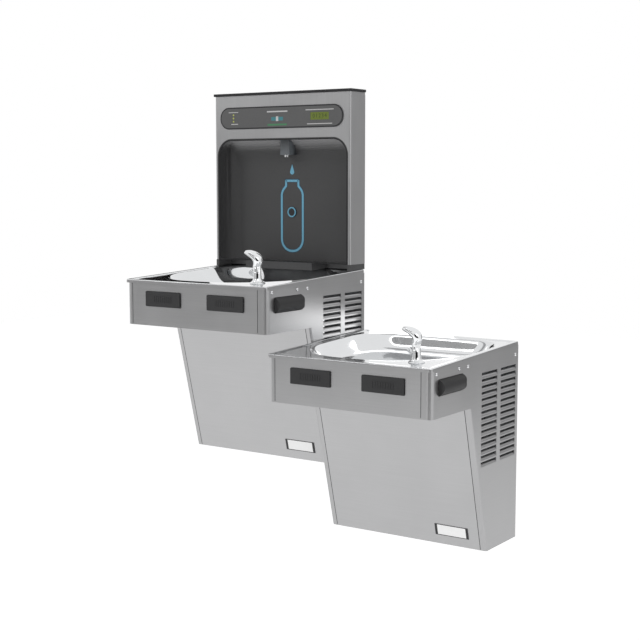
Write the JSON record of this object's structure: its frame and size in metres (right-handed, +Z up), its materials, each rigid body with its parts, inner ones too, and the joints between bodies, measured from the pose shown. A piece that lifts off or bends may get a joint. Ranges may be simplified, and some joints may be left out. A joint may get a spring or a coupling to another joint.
{
  "type": "bottle filling station",
  "caption": "Wall-hung two-height drinking fountain in satin steel with louvred cabinets, push pads, bubblers and a bottle filler with alcove on the higher unit.",
  "frame": {"origin": "on the wall plane, at the centre of the wall bracket's bolt pattern, midway between the two cabinets", "axes": "+X to the viewer's right, +Y into the wall, +Z up"},
  "size_m": [0.956, 0.4599, 1.1653],
  "materials": {
    "cabinet_steel": "vertical satin brushing",
    "polished_steel": "polished to a soft mirror",
    "galvanised_steel": "dull zinc",
    "chrome_plate": "bright plate",
    "pad_rubber": "satin",
    "black_plastic": "fine grain",
    "liner_plastic": "satin",
    "panel_plastic": "satin",
    "gloss_black": "clear black",
    "lcd_window": "lit yellow green",
    "white_plastic": "satin",
    "black_enamel": "gloss enamel",
    "brass_body": "cast and machined",
    "copper_tube": "drawn copper",
    "board_green": "solder mask"
  },
  "bodies": {
    "station": {"wall_bracket": "galvanised_steel", "link_tube": "copper_tube", "upper_basin": "polished_steel", "upper_front_apron": "cabinet_steel", "upper_left_panel": "cabinet_steel", "upper_right_panel": "cabinet_steel", "upper_access_panel": "cabinet_steel", "upper_underside_panel": "cabinet_steel", "upper_back_frame": "galvanised_steel", "upper_bubbler": "chrome_plate", "upper_bubbler_guard": "chrome_plate", "upper_strainer": "chrome_plate", "upper_trap": "white_plastic", "upper_valve": "brass_body", "upper_side_screws": "chrome_plate", "lower_basin": "polished_steel", "lower_front_apron": "cabinet_steel", "lower_left_panel": "cabinet_steel", "lower_right_panel": "cabinet_steel", "lower_access_panel": "cabinet_steel", "lower_underside_panel": "cabinet_steel", "lower_back_frame": "galvanised_steel", "lower_bubbler": "chrome_plate", "lower_bubbler_guard": "chrome_plate", "lower_strainer": "chrome_plate", "lower_trap": "white_plastic", "lower_valve": "brass_body", "lower_side_screws": "chrome_plate", "compressor": "black_enamel", "condenser": "galvanised_steel", "fan_motor": "black_enamel", "cooling_tank": "white_plastic", "chilled_tube": "copper_tube", "filter_head": "black_plastic", "filter_cartridge": "white_plastic", "filler_base": "black_plastic", "filler_cover": "cabinet_steel", "filler_cap": "black_plastic", "filler_back_plate": "galvanised_steel", "alcove_liner": "liner_plastic", "drip_tray": "black_plastic", "drip_grille": "black_plastic", "control_panel": "panel_plastic", "display_window": "lcd_window", "status_lights": "lcd_window", "nozzle_hood": "panel_plastic", "nozzle_tip": "chrome_plate", "sensor_window": "gloss_black", "solenoid_valve": "brass_body", "control_board": "board_green"},
    "fan": {"fan_blade": "black_plastic"},
    "upper_pad_front_left": {"upper_pad_front_left": "pad_rubber"},
    "upper_pad_front_right": {"upper_pad_front_right": "pad_rubber"},
    "upper_pad_side_left": {"upper_pad_side_left": "pad_rubber"},
    "upper_pad_side_right": {"upper_pad_side_right": "pad_rubber"},
    "lower_pad_front_left": {"lower_pad_front_left": "pad_rubber"},
    "lower_pad_front_right": {"lower_pad_front_right": "pad_rubber"},
    "lower_pad_side_left": {"lower_pad_side_left": "pad_rubber"},
    "lower_pad_side_right": {"lower_pad_side_right": "pad_rubber"}
  },
  "joints": [
    {"name": "upper_pad_front_left_press", "type": "slide", "parent": "station", "child": "upper_pad_front_left", "axis": [0, 1, 0], "range_m": [0, 0.003], "stiffness_N_per_m": 900, "springref_m": -0.004},
    {"name": "upper_pad_front_right_press", "type": "slide", "parent": "station", "child": "upper_pad_front_right", "axis": [0, 1, 0], "range_m": [0, 0.003], "stiffness_N_per_m": 900, "springref_m": -0.004},
    {"name": "upper_pad_side_left_press", "type": "slide", "parent": "station", "child": "upper_pad_side_left", "axis": [1, 0, 0], "range_m": [0, 0.003], "stiffness_N_per_m": 900, "springref_m": -0.004},
    {"name": "upper_pad_side_right_press", "type": "slide", "parent": "station", "child": "upper_pad_side_right", "axis": [-1, 0, 0], "range_m": [0, 0.003], "stiffness_N_per_m": 900, "springref_m": -0.004},
    {"name": "lower_pad_front_left_press", "type": "slide", "parent": "station", "child": "lower_pad_front_left", "axis": [0, 1, 0], "range_m": [0, 0.003], "stiffness_N_per_m": 900, "springref_m": -0.004},
    {"name": "lower_pad_front_right_press", "type": "slide", "parent": "station", "child": "lower_pad_front_right", "axis": [0, 1, 0], "range_m": [0, 0.003], "stiffness_N_per_m": 900, "springref_m": -0.004},
    {"name": "lower_pad_side_left_press", "type": "slide", "parent": "station", "child": "lower_pad_side_left", "axis": [1, 0, 0], "range_m": [0, 0.003], "stiffness_N_per_m": 900, "springref_m": -0.004},
    {"name": "lower_pad_side_right_press", "type": "slide", "parent": "station", "child": "lower_pad_side_right", "axis": [-1, 0, 0], "range_m": [0, 0.003], "stiffness_N_per_m": 900, "springref_m": -0.004},
    {"name": "fan_spin", "type": "hinge", "parent": "station", "child": "fan", "pos_m": [-0.134, -0.0813, 0.007], "axis": [1, 0, 0], "continuous": true}
  ]
}
